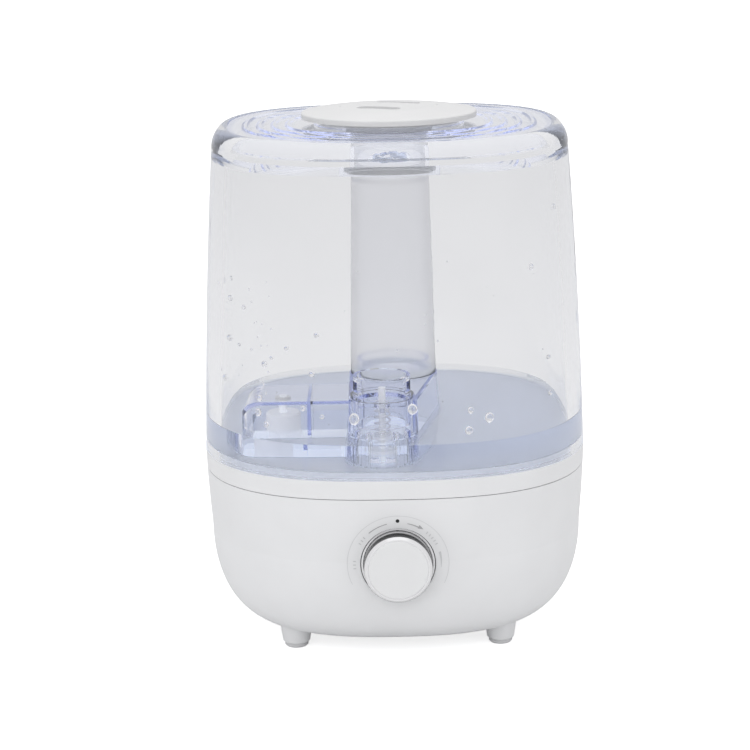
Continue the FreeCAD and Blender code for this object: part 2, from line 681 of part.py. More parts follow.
def make_air_duct():
    """Funnel from the fan up to the chimney in the tray."""
    x = CHIMNEY_X
    y = CHIMNEY_Y
    foot = FAN_Z + FAN_THICK
    wide = FAN_BORE_R + 0.2
    neck = CHIMNEY_R + TRAY_WALL + 0.2
    mouth = DECK_Z - DECK_THICK - 6
    bend = foot + DUCT_HEAD
    step = mouth - DUCT_SOCKET
    inner = [(wide - DUCT_WALL, foot), (wide - DUCT_WALL, foot + 8), (neck - 1.0, bend),
             (neck - 1.0, step - 1.0), (neck, step), (neck, mouth)]
    outer = [(r + DUCT_WALL, z) for r, z in reversed(inner)]
    duct = turned(inner + outer, x, y)
    half = FAN_SIZE / 2
    keep = box(x - half, x + half, y - half, y + half, foot, mouth)
    duct = duct.common(keep)
    for sx, sy in fan_places():
        duct = duct.cut(cylinder(SCREW_HEAD_R + 0.4, foot - 1, foot + 4, sx, sy))
    return duct.removeSplitter()


# ------------------------------------------------------------ electronics ----

def make_main_board():
    board = box(BOARD_X - BOARD_LENGTH / 2, BOARD_X + BOARD_LENGTH / 2,
                BOARD_Y - BOARD_WIDTH / 2, BOARD_Y + BOARD_WIDTH / 2, BOARD_Z, BOARD_Z + BOARD_THICK)
    for x, y in board_places():
        board = board.cut(cylinder(SCREW_R + 0.2, BOARD_Z - 1, BOARD_Z + 3, x, y))
    return board


def make_board_screws():
    z = BOARD_Z + BOARD_THICK
    return Part.makeCompound([screw(x, y, z, 7.0) for x, y in board_places()])


def make_heat_sink():
    z = BOARD_Z + BOARD_THICK
    x = BOARD_X + 14.0
    y = BOARD_Y + 8.0
    sink = box(x - 1.2, x + 1.2, y - 16, y + 16, z, z + 24)
    for i in range(5):
        yy = y - 14.0 + 7.0 * i
        sink = sink.fuse(box(x, x + 8.0, yy - 0.7, yy + 0.7, z, z + 24))
    return sink.removeSplitter()


def make_capacitors():
    z = BOARD_Z + BOARD_THICK
    places = ((-18.0, -24.0, 5.0, 16.0), (-5.0, -24.0, 4.0, 12.0), (-18.0, 22.0, 6.0, 18.0))
    cans = [cylinder(r, z, z + h, BOARD_X + x, BOARD_Y + y) for x, y, r, h in places]
    return Part.makeCompound(cans)


def make_driver_coil():
    z = BOARD_Z + BOARD_THICK
    x = BOARD_X - 12.0
    y = BOARD_Y - 2.0
    core = cylinder(9.0, z, z + 2.0, x, y).fuse(cylinder(4.0, z + 1.5, z + 12.5, x, y))
    core = core.fuse(cylinder(9.0, z + 12.0, z + 14.0, x, y))
    return core


def make_coil_winding():
    z = BOARD_Z + BOARD_THICK
    return ring(8.0, 4.1, z + 2.05, z + 11.95, BOARD_X - 12.0, BOARD_Y - 2.0)


def make_power_jack():
    """Barrel socket let into the back wall."""
    back = base_back_y(JACK_Z)
    inner = back - BASE_WALL - 8.0
    body = Part.makeCylinder(JACK_R, back - 0.6 - inner, V(JACK_X, inner, JACK_Z), V(0, 1, 0))
    flange = Part.makeCylinder(JACK_R + 2.2, 2.0, V(JACK_X, back - BASE_WALL - 3.0, JACK_Z), V(0, 1, 0))
    body = body.fuse(flange)
    body = body.fuse(box(JACK_X - 4.5, JACK_X + 4.5, inner - 6, inner + 0.5, JACK_Z - 5, JACK_Z + 5))
    well = Part.makeCylinder(2.9, JACK_WELL + 2, V(JACK_X, back - JACK_WELL - 0.6, JACK_Z), V(0, 1, 0))
    body = body.cut(well)
    tip = Part.makeCylinder(1.0, JACK_WELL, V(JACK_X, back - JACK_WELL - 1.2, JACK_Z), V(0, 1, 0))
    return body.fuse(tip).removeSplitter()


def base_back_y(z):
    """Depth of the outer wall behind the jack at height z."""
    rise = CURVE_TOP_Z - BODY_BOTTOM_Z
    up = max(0.0, (CURVE_TOP_Z - z) / rise)
    drop = BOTTOM_ROUND_IN * (1 - (1 - up ** BOTTOM_ROUND_POWER) ** (1 / BOTTOM_ROUND_POWER))
    half_x = CURVE_TOP_HALF - drop
    half_y = half_x - (HALF_WIDTH - HALF_DEPTH)
    return half_y * (1 - abs(JACK_X / half_x) ** SQUARENESS) ** (1 / SQUARENESS)


# ------------------------------------------------------------------ knob ----

def make_knob_bezel():
    bezel = front_cylinder(POCKET_R - 0.15, POCKET_Y, POCKET_Y - 2.6)
    return bezel.cut(front_cylinder(POCKET_R - BEZEL_WIDTH, POCKET_Y + 1, POCKET_Y - 4))


def make_knob():
    """Grip with a flat face, a rim for the chrome band and a bore for the spindle."""
    profile = [(3.05, 0), (5.0, 0), (5.0, 6.0), (KNOB_R - 3.2, 6.0), (KNOB_R - 3.2, 1.0),
               (KNOB_R - 1.2, 1.0), (KNOB_R - 1.2, KNOB_LENGTH - 1.4), (FACE_R - 0.3, KNOB_LENGTH - 1.4),
               (FACE_R - 0.3, KNOB_LENGTH - 0.3), (FACE_R - 0.8, KNOB_LENGTH), (0, KNOB_LENGTH),
               (0, 9.05), (3.05, 9.05)]
    knob = turned(profile)
    knob.rotate(V(0, 0, 0), V(1, 0, 0), 90)
    knob.translate(V(0, KNOB_SEAT_Y, KNOB_Z))
    return knob


def make_knob_ring():
    """Chrome band around the grip."""
    inner = KNOB_R - 1.2
    front = KNOB_LENGTH - 0.1
    seat = KNOB_LENGTH - 1.4
    profile = [(inner, 0.4), (KNOB_R, 0.4), (KNOB_R, KNOB_LENGTH - 1.6), (FACE_R + 0.6, front),
               (FACE_R - 0.3, front), (FACE_R - 0.3, seat), (inner, seat)]
    band = turned(profile)
    band.rotate(V(0, 0, 0), V(1, 0, 0), 90)
    band.translate(V(0, KNOB_SEAT_Y, KNOB_Z))
    return band


def make_pot_shaft():
    return front_cylinder(SPINDLE_R, POT_FRONT_Y + 4.0, KNOB_SEAT_Y - 9.0)


def make_potentiometer():
    pot = front_cylinder(POT_R, POT_BACK_Y, POT_FRONT_Y)
    bush = front_cylinder(SPINDLE_R + 0.95, POT_FRONT_Y + 1.0, POCKET_Y + 2.2)
    pot = pot.fuse(bush).cut(front_cylinder(SPINDLE_R + 0.05, POT_FRONT_Y + 6.0, POCKET_Y))
    terminals = box(-7, 7, POT_FRONT_Y + 2.0, POT_FRONT_Y + 6.0, KNOB_Z - 14, KNOB_Z - 6)
    return pot.fuse(terminals).removeSplitter()


def make_control_board():
    return box(-20, 20, POT_BACK_Y, POT_BACK_Y + BOARD_THICK, KNOB_Z - 20, KNOB_Z + 12)


# ------------------------------------------------------------------ tank ----

def make_tank_shell():
    """Clear wall: a tapered tube with a rounded shoulder and a ledge for the lid."""
    heights = [JOINT_Z + (SHOULDER_Z - JOINT_Z) * i / 5 for i in range(6)]
    sections = [(tank_half(z), z) for z in heights]
    land = MOUTH_HALF + RIM_LAND
    shoulder = []
    for step in range(5):
        a = math.radians(22.5 * step)
        shoulder.append((land + (TANK_TOP_HALF - land) * math.cos(a),
                         SHOULDER_Z + (RIM_Z - SHOULDER_Z) * math.sin(a)))
    shell = squircle_body(sections).fuse(squircle_body(shoulder))
    low_ledge = LEDGE_TOP_Z - LEDGE_THICK
    slope = TANK_TOP_HALF - TANK_WALL - LEDGE_HALF
    hollow_top = low_ledge - slope
    inside = [JOINT_Z - 2 + (hollow_top - JOINT_Z + 2) * i / 5 for i in range(6)]
    shell = shell.cut(squircle_body([(tank_half(z) - TANK_WALL, z) for z in inside]))
    shell = shell.cut(squircle_body([(tank_half(hollow_top) - TANK_WALL, hollow_top - 0.01),
                                     (LEDGE_HALF, low_ledge)], True))
    shell = shell.cut(squircle_prism(LEDGE_HALF, low_ledge - 0.5, RIM_Z + 1))
    shell = shell.cut(squircle_prism(MOUTH_HALF, LEDGE_TOP_Z, RIM_Z + 1))
    return shell.cut(squircle_prism(floor_half() + 0.1, JOINT_Z - 1, JOINT_Z + FLOOR_THICK))


def floor_half():
    return tank_half(JOINT_Z) - TANK_WALL + FLOOR_LIP


def tower_cylinder(z0, z1, r):
    return cylinder(r, z0, z1, TOWER_X, TOWER_Y)


def floor_body():
    """Tank floor with the hood, the float chamber and the valve tower as one body."""
    floor_top = JOINT_Z + FLOOR_THICK
    floor = squircle_prism(floor_half(), JOINT_Z, floor_top)
    skirt_half = tank_half(JOINT_Z) - TRAY_RIM - SLIP
    skirt = squircle_prism(skirt_half, JOINT_Z - SKIRT_DROP, JOINT_Z + 1).cut(
        squircle_prism(skirt_half - SKIRT_THICK, JOINT_Z - SKIRT_DROP - 1, JOINT_Z + 2))
    floor = floor.fuse(skirt)
    floor = floor.fuse(hull_body(0, JOINT_Z + 1, HOOD_TOP_Z, HOOD_DRAFT))
    floor = floor.fuse(lobe_body(0, JOINT_Z + 1, LOBE_TOP_Z, LOBE_SHOULDER_R))
    floor = floor.fuse(tower_cylinder(JOINT_Z + 1, TOWER_TOP_Z, TOWER_R))
    floor = floor.fuse(ring(COLLAR_R, COLLAR_BORE_R, HOOD_TOP_Z - 1, HOOD_TOP_Z + COLLAR_HEIGHT))
    hollow = hull_body(HOOD_WALL, JOINT_Z - 1, HOOD_TOP_Z - HOOD_WALL, HOOD_DRAFT)
    hollow = hollow.fuse(lobe_body(HOOD_WALL, JOINT_Z - 1, LOBE_TOP_Z - HOOD_WALL, LOBE_SHOULDER_R - 1))
    hollow = hollow.cut(tower_cylinder(JOINT_Z - 2, TOWER_TOP_Z, TOWER_R))
    rib = box(RIB_X - RIB_THICK / 2, RIB_X + RIB_THICK / 2, LOBE_FRONT_Y, LOBE_BACK_Y,
              floor_top + 4, LOBE_TOP_Z)
    floor = floor.cut(hollow.cut(rib))
    floor = floor.cut(cylinder(COLLAR_BORE_R, HOOD_TOP_Z - 6, HOOD_TOP_Z + COLLAR_HEIGHT + 1))
    floor = floor.cut(tower_cylinder(floor_top, TOWER_TOP_Z + 1, TOWER_R - TOWER_WALL))
    floor = floor.cut(tower_cylinder(JOINT_Z - 1, floor_top + 1, OUTLET_R))
    for i in range(TOWER_SLOTS):
        slot = box(TOWER_R - 5, TOWER_R + 6, -SLOT_WIDTH / 2, SLOT_WIDTH / 2,
                   floor_top + 0.6, floor_top + 0.6 + SLOT_HEIGHT)
        slot.rotate(V(0, 0, 0), UP, -90 + 24.0 * (i - (TOWER_SLOTS - 1) / 2))
        slot.translate(V(TOWER_X, TOWER_Y, 0))
        floor = floor.cut(slot)
    return floor


def above_floor(x0, x1):
    """The room over the tank floor between two X positions."""
    return box(x0, x1, -HALF_WIDTH, HALF_WIDTH, JOINT_Z + FLOOR_THICK, RIM_Z)


def make_tank_floor():
    return floor_body().cut(above_floor(-HALF_WIDTH, HALF_WIDTH)).removeSplitter()


def make_hood():
    """Hood over the mist maker with the valve tower, welded to the floor."""
    return floor_body().common(above_floor(RIB_X + RIB_THICK / 2, HALF_WIDTH)).removeSplitter()


def make_float_chamber():
    """Closed end of the hood over the float, up to its rib."""
    return floor_body().common(above_floor(-HALF_WIDTH, RIB_X + RIB_THICK / 2)).removeSplitter()


def make_mist_tube():
    foot = HOOD_TOP_Z
    outer = [(TUBE_FOOT_R, foot), (TUBE_TOP_R, TUBE_TOP_Z), (SPIGOT_R, TUBE_TOP_Z),
             (SPIGOT_R, TUBE_TOP_Z + SPIGOT_HEIGHT)]
    bore = SPIGOT_R - TUBE_WALL
    inner = [(bore, TUBE_TOP_Z + SPIGOT_HEIGHT), (bore, TUBE_TOP_Z - 2.0),
             (TUBE_TOP_R - TUBE_WALL, TUBE_TOP_Z - 4.0), (TUBE_FOOT_R - TUBE_WALL, foot)]
    return turned(outer + inner)


def make_tube_seal():
    return ring(TUBE_FOOT_R - TUBE_WALL - 0.15, COLLAR_R + 0.02, HOOD_TOP_Z, HOOD_TOP_Z + SEAL_HEIGHT)


def make_valve_cage():
    """Clear guide ring that clips into the top of the tower."""
    cage = ring(CAGE_R, CAGE_R - CAGE_WALL, CAGE_BOTTOM_Z, CAGE_TOP_Z, TOWER_X, TOWER_Y)
    cage = cage.fuse(ring(CAGE_FLANGE_R, CAGE_R - 1, TOWER_TOP_Z, TOWER_TOP_Z + CAGE_FLANGE_THICK,
                          TOWER_X, TOWER_Y))
    hub = tower_cylinder(SPIDER_Z, SPIDER_Z + SPIDER_THICK, 4.6)
    cross = box(-CAGE_R + 1, CAGE_R - 1, -1.3, 1.3, SPIDER_Z, SPIDER_Z + SPIDER_THICK)
    cross = cross.fuse(box(-1.3, 1.3, -CAGE_R + 1, CAGE_R - 1, SPIDER_Z, SPIDER_Z + SPIDER_THICK))
    cross.translate(V(TOWER_X, TOWER_Y, 0))
    cage = cage.fuse(hub).fuse(cross).cut(tower_cylinder(SPIDER_Z - 1, SPIDER_Z + 4, STEM_R + 0.3))
    window_low = TOWER_TOP_Z + CAGE_FLANGE_THICK + 2.5
    for turn in (20.0, 160.0):
        window = box(CAGE_R - 4, CAGE_R + 2, -4.0, 4.0, window_low, CAGE_TOP_Z - 2.5)
        window.rotate(V(0, 0, 0), UP, -turn)
        window.translate(V(TOWER_X, TOWER_Y, 0))
        cage = cage.cut(window)
    return cage.removeSplitter()


def stem_low_z():
    return JOINT_Z + FLOOR_THICK + VALVE_LIFT


def make_valve_stem():
    low = stem_low_z()
    disc_low = low + VALVE_SEAL_THICK
    stem = tower_cylinder(low, STEM_TOP_Z, STEM_R)
    disc = tower_cylinder(disc_low, disc_low + VALVE_DISC_THICK, VALVE_DISC_R)
    return stem.fuse(disc).removeSplitter()


def make_valve_seal():
    low = stem_low_z()
    return ring(VALVE_SEAL_R, STEM_R, low, low + VALVE_SEAL_THICK, TOWER_X, TOWER_Y)


def spring_low_z():
    return stem_low_z() + VALVE_SEAL_THICK + VALVE_DISC_THICK


def make_valve_spring():
    low = spring_low_z() + SPRING_WIRE_R + 0.05
    high = SPIDER_Z - SPRING_WIRE_R - 0.05
    helix = Part.makeHelix((high - low) / SPRING_TURNS, high - low, SPRING_R - SPRING_WIRE_R)
    helix.translate(V(0, 0, low))
    circle = Part.makeCircle(SPRING_WIRE_R, V(SPRING_R - SPRING_WIRE_R, 0, low), V(0, 1, 0))
    coil = Part.Wire(helix.Edges).makePipeShell([Part.Wire([circle])], True, True)
    coil.translate(V(TOWER_X, TOWER_Y, 0))
    return coil


# ----------------------------------------------------------------- float ----

def make_float():
    """Hollow bell that rides on the post in the sump."""
    top = FLOAT_BOTTOM_Z + FLOAT_HEIGHT
    bore = POST_R + POST_CLEARANCE
    profile = [(bore, FLOAT_BOTTOM_Z), (FLOAT_R - 0.8, FLOAT_BOTTOM_Z), (FLOAT_R, FLOAT_BOTTOM_Z + 0.8),
               (FLOAT_R, top - 1.0), (FLOAT_R - 1.0, top), (bore, top)]
    room_in = bore + FLOAT_WALL
    room_out = FLOAT_R - FLOAT_WALL
    room_low = FLOAT_BOTTOM_Z + FLOAT_WALL
    room_top = top - FLOAT_WALL
    hollow = [(room_in, room_low), (room_out, room_low), (room_out, room_top), (room_in, room_top)]
    return turned(profile, FLOAT_X, FLOAT_Y).cut(turned(hollow, FLOAT_X, FLOAT_Y))


def make_float_clip():
    low = FLOAT_BOTTOM_Z + FLOAT_HEIGHT + FLOAT_TRAVEL + 0.3
    clip = ring(CLIP_R, POST_R - 0.5, low, low + CLIP_THICK - 0.1, FLOAT_X, FLOAT_Y)
    return clip.cut(box(FLOAT_X, FLOAT_X + 9, FLOAT_Y - 1.2, FLOAT_Y + 1.2, low - 1, low + 3))


# ------------------------------------------------------------------- lid ----

def make_lid():
    """Clear lid: rippled plate with a skirt and the ring that the cap runs on."""
    half = MOUTH_HALF - LID_GAP
    low_plate = LID_TOP_Z - LID_THICK
    lid = squircle_prism(half, LID_SKIRT_Z, LID_TOP_Z)
    lid = lid.cut(squircle_prism(half - LID_SKIRT_THICK, LID_SKIRT_Z - 1, low_plate))
    for i in range(RIPPLES):
        size = RIPPLE_FIRST_HALF + RIPPLE_STEP * i
        bump = squircle_body([(size + 2.6, LID_TOP_Z - 0.3), (size + 0.8, LID_TOP_Z + RIPPLE_HEIGHT)], True)
        bump = bump.cut(squircle_body([(size - 2.6, LID_TOP_Z - 0.4),
                                       (size - 0.8, LID_TOP_Z + RIPPLE_HEIGHT + 0.1)], True))
        lid = lid.fuse(bump)
    lid = lid.fuse(ring(BEARING_R + BEARING_WIDTH / 2, BEARING_R - BEARING_WIDTH / 2,
                        LID_TOP_Z - 0.5, BEARING_TOP_Z))
    return lid.cut(cylinder(neck_radius(), LID_SKIRT_Z - 1, LID_TOP_Z + 1)).removeSplitter()


def neck_radius():
    return LID_BORE_R + LID_BORE_WALL


def make_lid_neck():
    """Neck in the lid's middle: the cap turns in it and its collar finds the mist tube."""
    foot = TUBE_TOP_Z + 0.3
    collar_top = foot + LID_COLLAR_HEIGHT
    bore = LID_COLLAR_R - LID_BORE_WALL
    neck = turned([(bore, foot), (LID_COLLAR_R, foot), (LID_COLLAR_R, collar_top),
                   (neck_radius(), collar_top + 5), (neck_radius(), LID_TOP_Z), (LID_BORE_R, LID_TOP_Z),
                   (LID_BORE_R, collar_top + 4.5), (bore, collar_top - 1)])
    ledge = ring(LID_BORE_R + 0.5, LID_BORE_R - 2.0, ledge_low_z(), ledge_low_z() + 2.0)
    return neck.fuse(ledge).removeSplitter()


def ledge_low_z():
    return CAP_EDGE_Z - HUB_LENGTH + 3.2


def hub_radius():
    return LID_BORE_R - 2.0 - TURN_GAP


# ------------------------------------------------------------------- cap ----

def make_mist_cap():
    """White domed cap with its outlet slots and the hub that turns in the lid."""
    crown = CAP_TOP_Z - CAP_RIM_Z
    sphere_r = (CAP_R ** 2 + crown ** 2) / (2 * crown)
    dome = Part.makeSphere(sphere_r, V(0, 0, CAP_TOP_Z - sphere_r))
    cap = cylinder(CAP_R, CAP_EDGE_Z, CAP_TOP_Z + 1).common(dome)
    inner_dome = Part.makeSphere(sphere_r, V(0, 0, CAP_TOP_Z - sphere_r - CAP_SHELL))
    cap = cap.cut(cylinder(CAP_R - CAP_SHELL, CAP_EDGE_Z - 1, CAP_TOP_Z).common(inner_dome))
    rim = [e for e in cap.Edges
           if abs(e.BoundBox.ZMin - CAP_RIM_Z) < 0.2 and e.BoundBox.XLength > 2 * CAP_R - 1]
    cap = cap.makeFillet(1.0, rim)
    dish = cylinder(DISH_R, CAP_TOP_Z - 2 * DISH_DEPTH, CAP_TOP_Z + 1)
    floor_dome = Part.makeSphere(sphere_r, V(0, 0, CAP_TOP_Z - sphere_r - DISH_DEPTH))
    cap = cap.cut(dish.cut(floor_dome))
    r = hub_radius()
    hub = ring(r, r - HUB_WALL, CAP_EDGE_Z - HUB_LENGTH, CAP_TOP_Z - CAP_SHELL)
    hub = hub.common(Part.makeSphere(sphere_r, V(0, 0, CAP_TOP_Z - sphere_r - CAP_SHELL / 2)))
    bearing = ring(BEARING_R + 1.0, BEARING_R - 1.0, BEARING_TOP_Z + 0.1, CAP_RIM_Z)
    bearing = bearing.common(Part.makeSphere(sphere_r, V(0, 0, CAP_TOP_Z - sphere_r - CAP_SHELL / 2)))
    cap = cap.fuse(hub).fuse(bearing)
    for side in (-1, 1):
        cap = cap.cut(outlet_slot(side * OUTLET_OFFSET))
        cap = cap.cut(cylinder(VENT_HOLE_R, CAP_EDGE_Z, CAP_TOP_Z + 1, side * DISH_R, 0))
    groove_z = CAP_EDGE_Z - HUB_LENGTH + 0.8
    cap = cap.cut(ring(r + 1, r - 0.7, groove_z, groove_z + 1.6))
    return cap.removeSplitter()


def outlet_slot(y):
    """Round-ended slot across the cap's middle."""
    reach = OUTLET_SLOT_LENGTH / 2 - OUTLET_SLOT_WIDTH / 2
    half = OUTLET_SLOT_WIDTH / 2
    slot = box(-reach, reach, y - half, y + half, CAP_EDGE_Z, CAP_TOP_Z + 2)
    for x in (-reach, reach):
        slot = slot.fuse(cylinder(half, CAP_EDGE_Z, CAP_TOP_Z + 2, x, y))
    slot.rotate(V(0, 0, 0), UP, OUTLET_TURN)
    return slot


def make_cap_snap_ring():
    r = hub_radius()
    low = CAP_EDGE_Z - HUB_LENGTH + 0.85
    clip = ring(LID_BORE_R - 0.4, r - 0.65, low, low + 1.5)
    return clip.cut(box(0, 40, -2, 2, low - 1, low + 3))


NODES = {
    "mist_cap": make_mist_cap, "cap_snap_ring": make_cap_snap_ring,
    "lid": make_lid, "lid_neck": make_lid_neck,
    "tank_shell": make_tank_shell, "tank_floor": make_tank_floor,
    "hood": make_hood, "float_chamber": make_float_chamber,
    "mist_tube": make_mist_tube, "tube_seal": make_tube_seal,
    "valve_cage": make_valve_cage, "valve_stem": make_valve_stem,
    "valve_seal": make_valve_seal, "valve_spring": make_valve_spring,
    "float": make_float, "float_clip": make_float_clip,
    "float_post": make_float_post, "valve_pin": make_valve_pin,
    "base_tray": make_base_tray, "deck": make_deck, "chimney": make_chimney,
    "sump": make_sump, "base_housing": make_base_housing,
    "bottom_cover": make_bottom_cover, "foot_pads": make_foot_pads,
    "tray_screws": make_tray_screws, "cover_screws": make_cover_screws,
    "transducer_disc": make_transducer_disc, "transducer_gasket": make_transducer_gasket,
    "transducer_holder": make_transducer_holder, "transducer_screws": make_transducer_screws,
    "fan_frame": make_fan_frame, "fan_impeller": make_fan_impeller,
    "fan_screws": make_fan_screws, "air_duct": make_air_duct,
    "main_board": make_main_board, "board_screws": make_board_screws,
    "heat_sink": make_heat_sink, "capacitors": make_capacitors,
    "driver_coil": make_driver_coil, "coil_winding": make_coil_winding,
    "power_jack": make_power_jack, "knob_bezel": make_knob_bezel,
    "knob": make_knob, "knob_ring": make_knob_ring, "pot_shaft": make_pot_shaft,
    "potentiometer": make_potentiometer, "control_board": make_control_board,
}

# The knob stands out in front, so the middle of the whole outline lies ahead of the tube's axis.
OUTLINE_SHIFT_Y = (KNOB_LENGTH - KNOB_SEAT_Y - HALF_DEPTH) / 2

os.makedirs("parts", exist_ok=True)
for name, make in NODES.items():
    shape = make()
    shape.translate(V(0, OUTLINE_SHIFT_Y, 0))
    shape.exportStep("parts/%s.step" % name)
    b = shape.BoundBox
    print("%-18s solids %d valid %s  X %.1f..%.1f Y %.1f..%.1f Z %.1f..%.1f" % (
        name, len(shape.Solids), shape.isValid(), b.XMin, b.XMax, b.YMin, b.YMax, b.ZMin, b.ZMax))
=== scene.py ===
import math
import random

import bmesh
import bpy
from mathutils import Matrix, Vector
from mathutils.bvhtree import BVHTree


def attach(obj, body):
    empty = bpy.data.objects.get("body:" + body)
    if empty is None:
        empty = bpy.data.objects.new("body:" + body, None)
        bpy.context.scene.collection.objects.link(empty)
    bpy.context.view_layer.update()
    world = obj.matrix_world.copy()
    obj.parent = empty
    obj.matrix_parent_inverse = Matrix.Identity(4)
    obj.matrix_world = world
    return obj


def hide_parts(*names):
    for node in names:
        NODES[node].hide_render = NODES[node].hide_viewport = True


# Looks of the cool mist humidifier, in metres: clear tank, blue-tinted hood and lid, white base.

MM = 0.001
HALF_WIDTH = 0.108
HALF_DEPTH = 0.1057
SQUARENESS = 2.57
JOINT_Z = 0.109
FLOOR_TOP_Z = 0.112
WATER_Z = 0.1265
SHOULDER_Z = 0.277
HOOD_TOP_Z = 0.145
FOOT_HALF = 0.1078
SHOULDER_HALF = 0.0992
TANK_BOW = 0.00104
TANK_WALL = 0.008
HOOD_FLARE = 0.0024
HOOD_RISE = 0.035
FOOT_RING_R = 0.025
TOWER = Vector((-0.007, -0.069, 0.0))
TOWER_R = 0.018
TOWER_BORE_R = 0.0163
LOBE_LEFT_X = -0.0835
LOBE_FRONT_Y = -0.060
LOBE_BACK_Y = -0.016
LOBE_CORNER_R = 0.011
RIM_GAP = 0.00015
KNOB_Z = 0.062
PRINT_PROUD = 0.00012
BAND_BACK_Y = -0.1014
BAND_FRONT_Y = -0.1146
BEZEL_IN_R = 0.0185
BEZEL_OUT_R = 0.0203
POINTER_R = 0.0185
TUBE_FOOT_R = 0.0245
TUBE_DRAFT = 0.0025
TUBE_LENGTH = 0.114
CAMERA_ROLL = -1.106  # degrees
TUBE_AXIS = Vector((0.0, 0.00445, 0.0))  # shapes below are laid out from the mist tube's axis

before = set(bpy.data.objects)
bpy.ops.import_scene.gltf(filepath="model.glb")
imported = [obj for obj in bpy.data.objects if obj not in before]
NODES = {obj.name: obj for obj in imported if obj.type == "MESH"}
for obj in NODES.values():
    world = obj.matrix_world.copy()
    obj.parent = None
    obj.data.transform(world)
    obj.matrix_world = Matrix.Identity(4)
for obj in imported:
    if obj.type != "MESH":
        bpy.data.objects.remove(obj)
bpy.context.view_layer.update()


# ------------------------------------------------------------------ materials ----

def socket(shader, name, value):
    """Set one input of a shader."""
    shader.inputs[name].default_value = value


def new_material(name, rough=0.4, metallic=0.0, ior=1.5, coat=0.0):
    """Material and its principled shader."""
    mat = bpy.data.materials.new(name)
    mat.use_nodes = True
    shader = mat.node_tree.nodes["Principled BSDF"]
    socket(shader, "Roughness", rough)
    socket(shader, "Metallic", metallic)
    socket(shader, "IOR", ior)
    socket(shader, "Coat Weight", coat)
    return mat, shader


def place_node(mat):
    """Output that gives the place in the object's own space."""
    return mat.node_tree.nodes.new("ShaderNodeTexCoord").outputs["Object"]


def noise(mat, scale, detail=3.0, stretch=(1, 1, 1)):
    """Noise in the object's own space, scale in features per metre."""
    tree = mat.node_tree
    mapping = tree.nodes.new("ShaderNodeMapping")
    mapping.inputs["Scale"].default_value = stretch
    tree.links.new(place_node(mat), mapping.inputs["Vector"])
    node = tree.nodes.new("ShaderNodeTexNoise")
    node.inputs["Scale"].default_value = scale
    node.inputs["Detail"].default_value = detail
    tree.links.new(mapping.outputs["Vector"], node.inputs["Vector"])
    return node.outputs["Fac"]


def ramp(mat, source, stops):
    """Colours by value: stops are (value, (r, g, b))."""
    node = mat.node_tree.nodes.new("ShaderNodeValToRGB")
    elements = node.color_ramp.elements
    while len(elements) < len(stops):
        elements.new(0.5)
    for element, (at, colour) in zip(elements, stops):
        element.position = at
        element.color = (*colour, 1)
    mat.node_tree.links.new(source, node.inputs["Fac"])
    return node.outputs["Color"]


def scaled(colour, factor):
    """Colour made lighter or darker."""
    return tuple(min(1.0, c * factor) for c in colour)


def mottle(mat, shader, colour, spread, scale):
    """Slight unevenness of a moulded or rolled surface's colour."""
    source = noise(mat, scale)
    out = ramp(mat, source, [(0.3, scaled(colour, 1 - spread)), (0.7, scaled(colour, 1 + spread))])
    mat.node_tree.links.new(out, shader.inputs["Base Color"])


def vary_roughness(mat, shader, low, high, scale):
    """Roughness that drifts between low and high."""
    node = mat.node_tree.nodes.new("ShaderNodeMapRange")
    node.inputs["To Min"].default_value = low
    node.inputs["To Max"].default_value = high
    mat.node_tree.links.new(noise(mat, scale), node.inputs["Value"])
    mat.node_tree.links.new(node.outputs["Result"], shader.inputs["Roughness"])


def bump(mat, shader, source, strength, distance):
    """Relief from a value."""
    node = mat.node_tree.nodes.new("ShaderNodeBump")
    node.inputs["Strength"].default_value = strength
    node.inputs["Distance"].default_value = distance
    mat.node_tree.links.new(source, node.inputs["Height"])
    mat.node_tree.links.new(node.outputs["Normal"], shader.inputs["Normal"])


def moulded(name, colour, rough, grain=0.05, coat=0.0, painted_glow=0.0, through=0.0):
    """Moulded plastic or rubber with a fine skin; through lets light into thin parts, and the emission
    is a painted glow standing in for the light that reaches parts in and under the clear tank.
    """
    mat, shader = new_material(name, rough, coat=coat)
    socket(shader, "Transmission Weight", through)
    # painted glow: emission that stands in for light reaching the part
    socket(shader, "Emission Color", (0.9, 0.94, 1.0, 1))
    socket(shader, "Emission Strength", painted_glow)
    mottle(mat, shader, colour, 0.015, 35.0)
    vary_roughness(mat, shader, rough * 0.88, rough * 1.12, 120.0)
    bump(mat, shader, noise(mat, 1400.0, 2.0), grain, 0.0002)
    return mat


def clear(name, tint, rough, ior, density=0.0, stain=(1.0, 1.0, 1.0), wave=0.02, painted_glow=0.0):
    """See-through plastic or water; stain and density colour it with thickness, and the emission is a
    painted glow spread evenly over it, put in for the light on its edges.
    """
    mat, shader = new_material(name, rough, ior=ior)
    # painted glow: emission that stands in for light reaching the part
    socket(shader, "Emission Color", (0.88, 0.92, 1.0, 1))
    socket(shader, "Emission Strength", painted_glow)
    socket(shader, "Transmission Weight", 1.0)
    mottle(mat, shader, tint, 0.008, 18.0)
    bump(mat, shader, noise(mat, 45.0, 1.5), wave, 0.0006)
    if density:
        tree = mat.node_tree
        volume = tree.nodes.new("ShaderNodeVolumeAbsorption")
        volume.inputs["Color"].default_value = (*stain, 1)
        volume.inputs["Density"].default_value = density
        tree.links.new(volume.outputs["Volume"], tree.nodes["Material Output"].inputs["Volume"])
    return mat


def metal(name, colour, rough, brushed=False):
    """Plain or brushed metal."""
    mat, shader = new_material(name, rough, metallic=1.0)
    mottle(mat, shader, colour, 0.03, 60.0)
    vary_roughness(mat, shader, rough * 0.8, rough * 1.25, 200.0)
    if brushed:
        bump(mat, shader, noise(mat, 900.0, 2.0, (1, 1, 12)), 0.12, 0.0001)
    return mat


